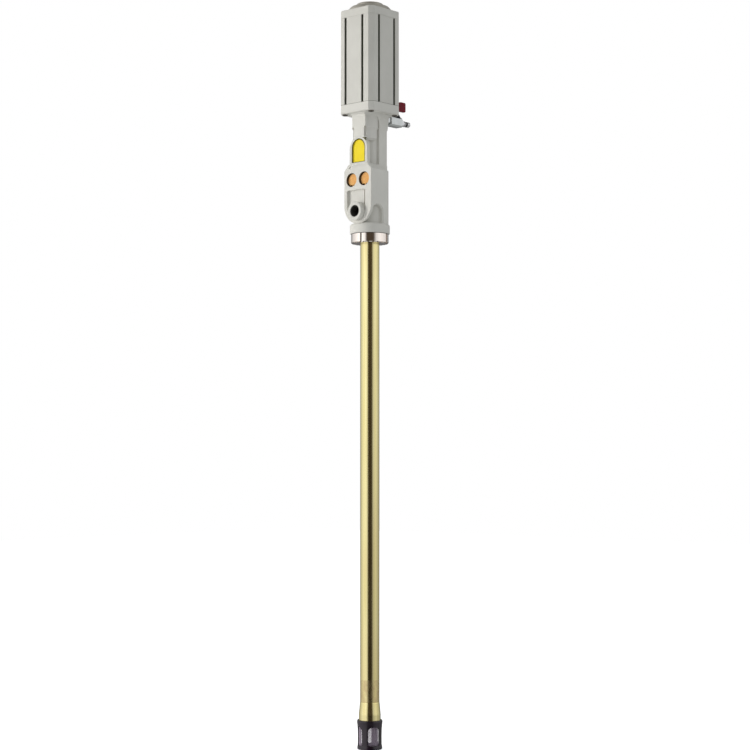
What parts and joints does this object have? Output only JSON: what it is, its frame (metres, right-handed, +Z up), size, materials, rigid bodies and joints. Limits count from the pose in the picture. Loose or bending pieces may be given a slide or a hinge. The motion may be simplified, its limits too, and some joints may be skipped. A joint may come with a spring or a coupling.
{
  "type": "pneumatic oil pump",
  "caption": "Air-operated drum oil pump: square air motor, cast body with side outlet, long suction tube with foot valve and strainer, air inlet with shut-off valve.",
  "frame": {"origin": "on the tube axis at the underside of the ring nut, where the suction tube leaves the pump", "axes": "+Z up along the tube towards the air motor; -Y the front with the outlet and the label; +Y the air inlet; +X to the right of someone facing the outlet"},
  "size_m": [0.085, 0.155, 1.3944],
  "materials": {
    "body_paint": "cast aluminium in satin warm grey paint",
    "cover_grey": "turned aluminium, satin grey",
    "gold_plate": "yellow zinc plating, bright",
    "nut_plate": "bright nickel plating",
    "nickel": "satin nickel plating",
    "steel": "machined steel",
    "hard_chrome": "hard chrome, polished",
    "bronze": "machined bronze",
    "sintered": "sintered bronze, matte",
    "aluminium": "turned aluminium",
    "rubber_black": "moulded rubber",
    "seal_white": "low-friction seal plastic",
    "black_plastic": "moulded plastic, satin",
    "mesh_steel": "woven steel wire",
    "label_yellow": "printed film, satin",
    "handle_red": "die-cast, red lacquer, semi-gloss",
    "spring_steel": "spring wire"
  },
  "bodies": {
    "casing": {"pump_body": "body_paint", "motor_cylinder": "body_paint", "motor_top_cap": "body_paint", "valve_cover": "cover_grey", "tie_bolts": "steel", "base_seal": "rubber_black", "cap_seal": "rubber_black", "rod_bush": "bronze", "rod_gland": "bronze", "rod_seals": "seal_white", "gland_o_ring": "rubber_black", "gland_circlip": "spring_steel", "ring_nut": "nut_plate", "tube_gasket": "rubber_black", "suction_tube": "gold_plate", "foot_valve_body": "gold_plate", "foot_valve_seat": "steel", "ball_stop_pin": "steel", "strainer_cage": "black_plastic", "strainer_mesh": "mesh_steel", "silencer_discs": "sintered", "silencer_circlips": "spring_steel", "name_label": "label_yellow", "inlet_nipple": "nickel", "valve_body": "nickel", "valve_seats": "seal_white", "stem_gland": "nickel", "quick_plug": "nickel"},
    "piston_and_rod": {"air_piston": "aluminium", "air_piston_seal": "rubber_black", "piston_guide_band": "seal_white", "piston_rod": "hard_chrome", "piston_nut": "steel", "rod_coupling": "steel", "coupling_pins": "steel", "displacement_rod": "hard_chrome", "pump_piston": "steel", "pump_piston_seal": "seal_white", "piston_valve_seat": "steel"},
    "piston_ball": {"piston_valve_ball": "hard_chrome"},
    "spool_and_trip_rod": {"reversing_spool": "aluminium", "spool_seals": "rubber_black", "trip_rod": "hard_chrome", "lower_trip_spring": "spring_steel", "upper_trip_spring": "spring_steel"},
    "foot_ball": {"foot_valve_ball": "hard_chrome"},
    "valve_lever": {"valve_handle": "handle_red", "handle_nut": "nickel", "valve_stem": "nickel", "valve_ball": "hard_chrome"}
  },
  "joints": [
    {"name": "pump_stroke", "type": "slide", "parent": "casing", "child": "piston_and_rod", "axis": [0, 0, 1], "range_m": [0, 0.1]},
    {"name": "piston_ball_lift", "type": "slide", "parent": "piston_and_rod", "child": "piston_ball", "axis": [0, 0, 1], "range_m": [0, 0.004]},
    {"name": "reversing_shift", "type": "slide", "parent": "casing", "child": "spool_and_trip_rod", "axis": [0, 0, 1], "range_m": [0, 0.006], "deforming": ["lower_trip_spring"]},
    {"name": "foot_ball_lift", "type": "slide", "parent": "casing", "child": "foot_ball", "axis": [0, 0, 1], "range_m": [0, 0.005]},
    {"name": "air_valve_turn", "type": "hinge", "parent": "casing", "child": "valve_lever", "pos_m": [0, 0.072, 0.263], "axis": [0, 0, 1], "range_deg": [0, 90]}
  ]
}
